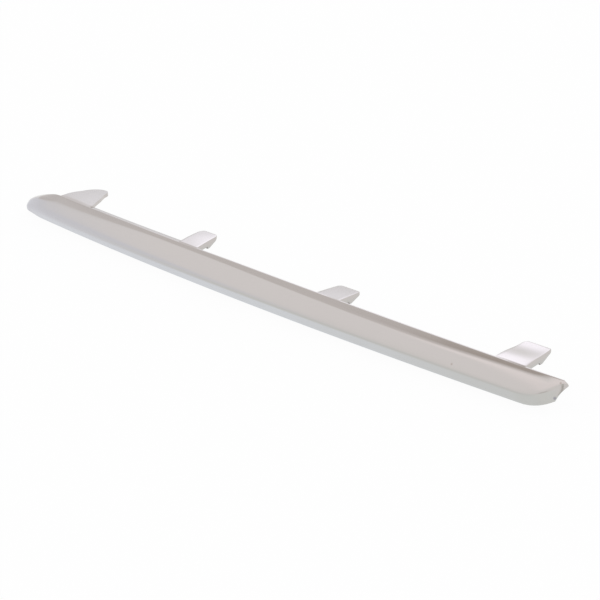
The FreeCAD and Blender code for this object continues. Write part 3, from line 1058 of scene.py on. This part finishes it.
@dataclass(frozen=True)
class Studio:
    """A plain white sweep under soft light, in a white room whose duller ceiling the upper bevel mirrors."""

    white: str = "FFFFFF"
    camera_at: tuple[float, float, float] = (385.63, -308.18, 165.64)
    yaw: float = 0.85006
    pitch: float = 0.33221
    lens: float = 78.0
    sensor: float = 36.0
    floor_reach_m: float = 3.0
    floor_tone: str = "F2F2F2"
    # How much of the floor's look is its own white, so that the rest keeps the part's faint shadow.
    floor_white: float = 0.94
    room: tuple[RoomPatch, ...] = (
        RoomPatch("table", 0, -90, 52, 76, "F2F8F7"),
        RoomPatch("table_below", 0, -90, 24, 38, "F8FFFF"),
        RoomPatch("table_right", -18, -45, 10, 36, "FAFFFE"),
        RoomPatch("table_left", 96, -42, 6, 26, "EFF7FF", 1.18),
        RoomPatch("window", 76, -8, 16, 40, "F2F6FF", 1.05),
        RoomPatch("front_light", 46, 18, 10, 26, "FFFEFF", 1.055),
        RoomPatch("skirting", 50, -40, 10, 28, "F3F7F7"),
        RoomPatch("ceiling", 100, 50, 32.5, 38.5, "EAE7E6"),
        RoomPatch("ceiling_end", 84, 21, 8, 16, "E9E7E8"),
        RoomPatch("left_wall", 122, 26, 8, 20, "F4F5F8"),
        RoomPatch("strip_light", 38, 42, 3, 13, "FFFBFC", 1.21),
        RoomPatch("strip_light_end", 20, 37, 3, 15, "FFFBFC", 1.14),
        RoomPatch("dark_ceiling", 66, 59, 3, 12, "C5BDB6"),
        RoomPatch("doorway", -6, -8, 4, 12, "CFCFCB"),
        RoomPatch("side_window", -72, -10, 24, 50, "F6F8FF", 1.24),
        RoomPatch("softbox", 126, 44, 3, 29, "F5F6FF", 1.85))

    def floor(self) -> None:
        """Make the pale floor, which shows white and keeps the moulding's soft shadow.

        White board mirrors nothing and throws light up evenly, so the part stands in a plain soft glow.
        """
        maker = bmesh.new()
        bmesh.ops.create_grid(maker, x_segments=1, y_segments=1, size=self.floor_reach_m)
        mesh = bpy.data.meshes.new("floor")
        maker.to_mesh(mesh)
        maker.free()
        material = bpy.data.materials.new("white_painted_board")
        material.use_nodes = True
        tree = material.node_tree
        tree.nodes.clear()
        path = add_node(tree, "ShaderNodeLightPath")
        paint = add_node(tree, "ShaderNodeBsdfDiffuse", None, {"Color": linear(self.floor_tone)})
        glow = add_node(tree, "ShaderNodeEmission", None, {"Color": linear(self.white), "Strength": 1.0})
        part = add_node(tree, "ShaderNodeMath", {"operation": "MULTIPLY"}, {
            "0": path.outputs["Is Camera Ray"], "1": self.floor_white})
        mixed = add_node(tree, "ShaderNodeMixShader", None, {
            "Fac": part.outputs["Value"], "1": paint.outputs["BSDF"], "2": glow.outputs["Emission"]})
        add_node(tree, "ShaderNodeOutputMaterial", None, {"Surface": mixed.outputs["Shader"]})
        mesh.materials.append(material)
        floor = bpy.data.objects.new("floor", mesh)
        # The chrome doesn't mirror this board, but the room's table parts, which lie in its place. So metal
        # shows a pale ground too, with the soft edge that the photo's reflections have.
        floor.visible_glossy = False
        bpy.context.scene.collection.objects.link(floor)

    def surroundings(self) -> None:
        """Light the scene from a white room with a duller ceiling to the left and a bright panel behind."""
        world = bpy.data.worlds.new("studio")
        bpy.context.scene.world = world
        world.use_nodes = True
        tree = world.node_tree
        tree.nodes.clear()
        place = add_node(tree, "ShaderNodeTexCoord").outputs["Generated"]
        colour = linear(self.white)
        for part in self.room:
            tone = tuple(channel * part.strength for channel in linear(part.colour)[:3]) + (1.0,)
            colour = add_node(tree, "ShaderNodeMix", {"data_type": "RGBA", "label": part.name}, {
                "Factor": self.mask(tree, place, part), "6": colour, "7": tone}).outputs[2]
        # The camera sees a plain white room; the chrome and the floor see its parts.
        path = add_node(tree, "ShaderNodeLightPath")
        shown = add_node(tree, "ShaderNodeMix", {"data_type": "RGBA"}, {
            "Factor": path.outputs["Is Camera Ray"], "6": colour, "7": linear(self.white)})
        light = add_node(tree, "ShaderNodeBackground", None, {"Color": shown.outputs[2], "Strength": 1.0})
        add_node(tree, "ShaderNodeOutputWorld", None, {"Surface": light.outputs["Background"]})

    @staticmethod
    def mask(tree: Tree, place: Socket, part: RoomPatch) -> Socket:
        """Mark out one part of the room.

        Args:
            tree: The world's node tree.
            place: The direction that is looked in.
            part: Where the part lies and how soft its edge is.

        Returns:
            A socket that is 1 in the part and 0 outside it.
        """
        aimed = add_node(tree, "ShaderNodeVectorMath", {"operation": "DOT_PRODUCT"}, {
            "0": place, "1": part.direction})
        away = add_node(tree, "ShaderNodeMath", {"operation": "ARCCOSINE"}, {
            "0": aimed.outputs["Value"]})
        soft = add_node(tree, "ShaderNodeMapRange", {"interpolation_type": "SMOOTHSTEP"}, {
            "Value": away.outputs["Value"], "From Min": math.radians(part.edge),
            "From Max": math.radians(part.core), "To Min": 0.0, "To Max": 1.0})
        return soft.outputs["Result"]

    def camera(self) -> None:
        """Set up the camera at the photograph's viewing angle."""
        data = bpy.data.cameras.new("camera")
        data.lens = self.lens
        data.sensor_width = self.sensor
        data.clip_start = 0.01
        camera = bpy.data.objects.new("camera", data)
        camera.location = [c * MM for c in self.camera_at]
        camera.rotation_euler = (math.pi / 2 - self.pitch, 0.0, self.yaw)
        bpy.context.scene.collection.objects.link(camera)
        bpy.context.scene.camera = camera


def main() -> None:
    """Build the camera, the stage and every piece of the moulding, and report each."""
    bpy.context.scene.view_settings.view_transform = "Standard"
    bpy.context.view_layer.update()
    studio = Studio()
    studio.camera()
    studio.surroundings()
    studio.floor()
    sizes = BarSizes()
    fin_tip = sizes.bow(sizes.tongue_place(Place.FIN)) + sizes.fin_reach
    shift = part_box(NODE)[1][1] / MM - fin_tip
    LOG.info("The bar's own zero lies %.3f mm from the frame's, along y", shift)
    chrome = ChromePlate().build()
    parts = (
        Bar(sizes, shift),
        Fin(sizes, shift),
        Tongue(sizes, shift, Place.SECOND, reach=12.0, lift=2.9, corners=(2.4, 2.2), swell=0.3),
        Tongue(sizes, shift, Place.THIRD, reach=11.5, lift=0.5, corners=(1.8, 1.2), swell=0.08),
        Tongue(sizes, shift, Place.LAST, reach=14.4, lift=2.2, corners=(2.0, 0.9), swell=0.28, waves=2))
    for part in parts:
        piece = part.build(chrome)
        LOG.info("%s: %d faces", piece.name, len(piece.data.polygons))


if __name__ == "__main__":
    main()
